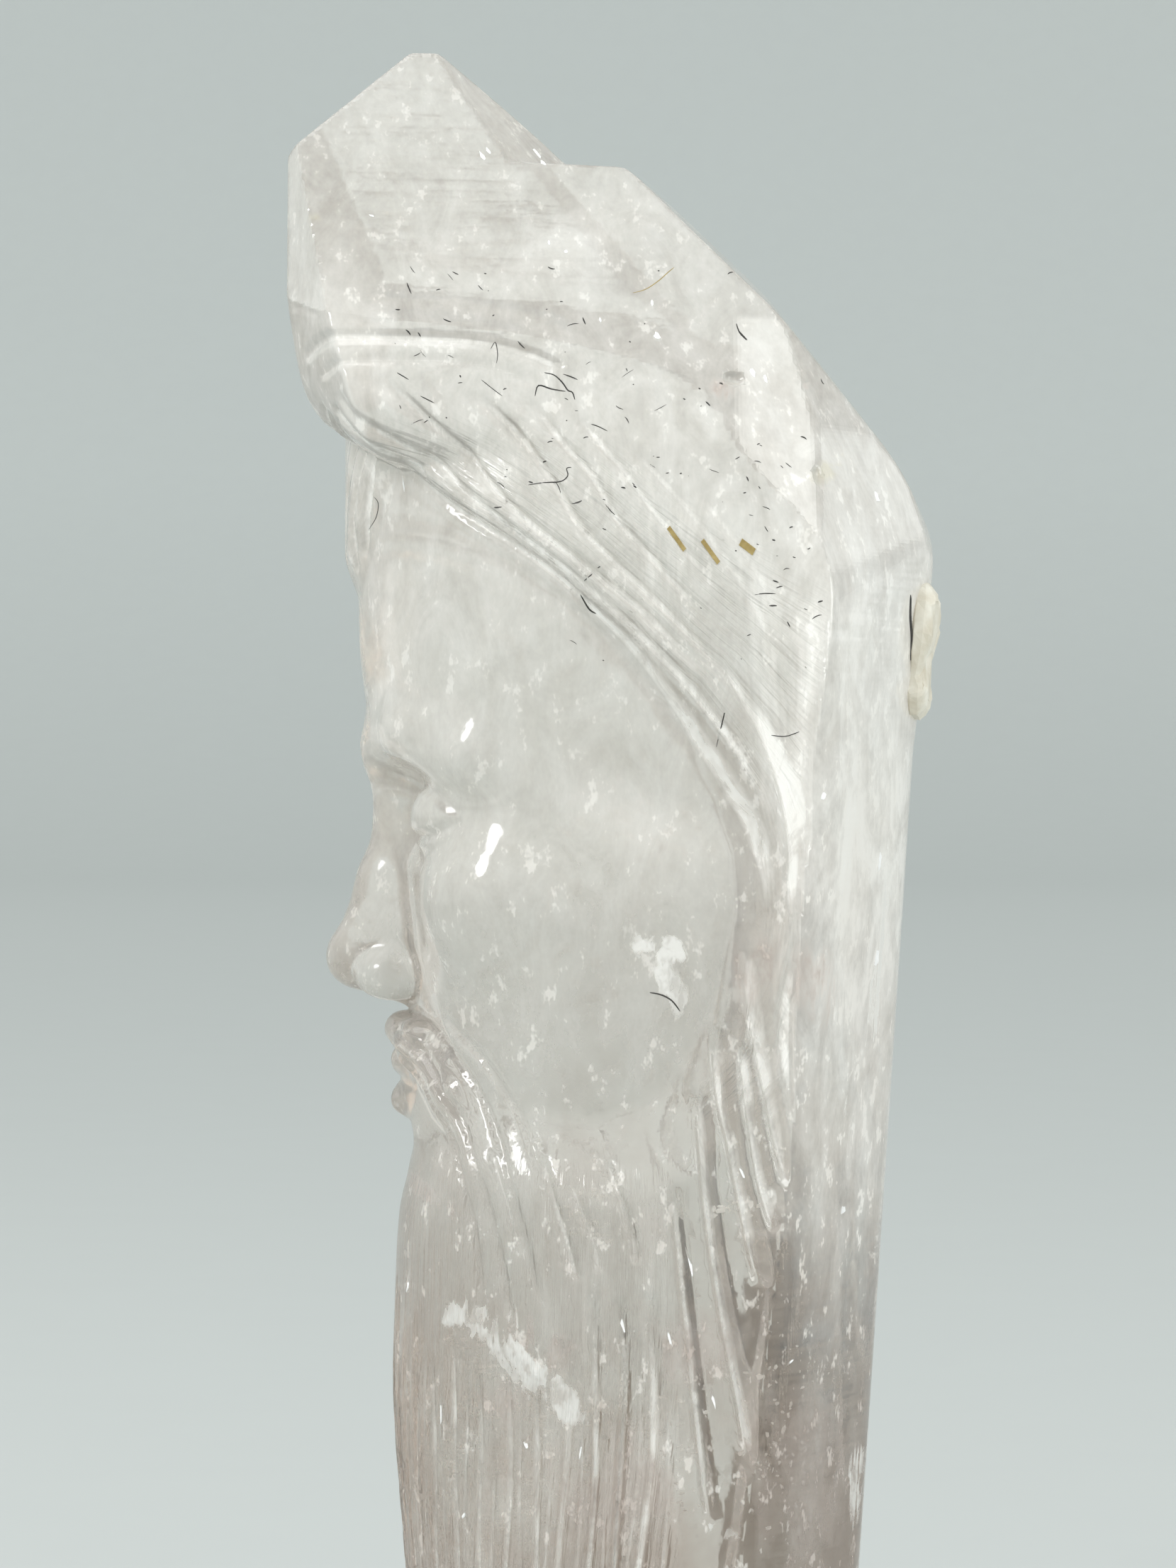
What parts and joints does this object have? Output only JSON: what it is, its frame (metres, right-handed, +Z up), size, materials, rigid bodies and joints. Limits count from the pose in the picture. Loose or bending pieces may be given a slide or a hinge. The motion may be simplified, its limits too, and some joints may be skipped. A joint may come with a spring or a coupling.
{
  "type": "carved quartz wand",
  "caption": "Upright clear quartz crystal with a natural pointed end, a saw-cut base and a bearded head carved into one side.",
  "frame": {"origin": "middle of the bounding box, on the plane of the sawn base", "axes": "+Z up the crystal to its point, the carved face looks along -X, the pictured side looks along -Y"},
  "size_m": [0.0556, 0.0371, 0.156],
  "materials": {
    "clear_quartz": "polished facets, satin carving"
  },
  "bodies": {
    "root": {"quartz_wand": "clear_quartz"}
  },
  "joints": []
}
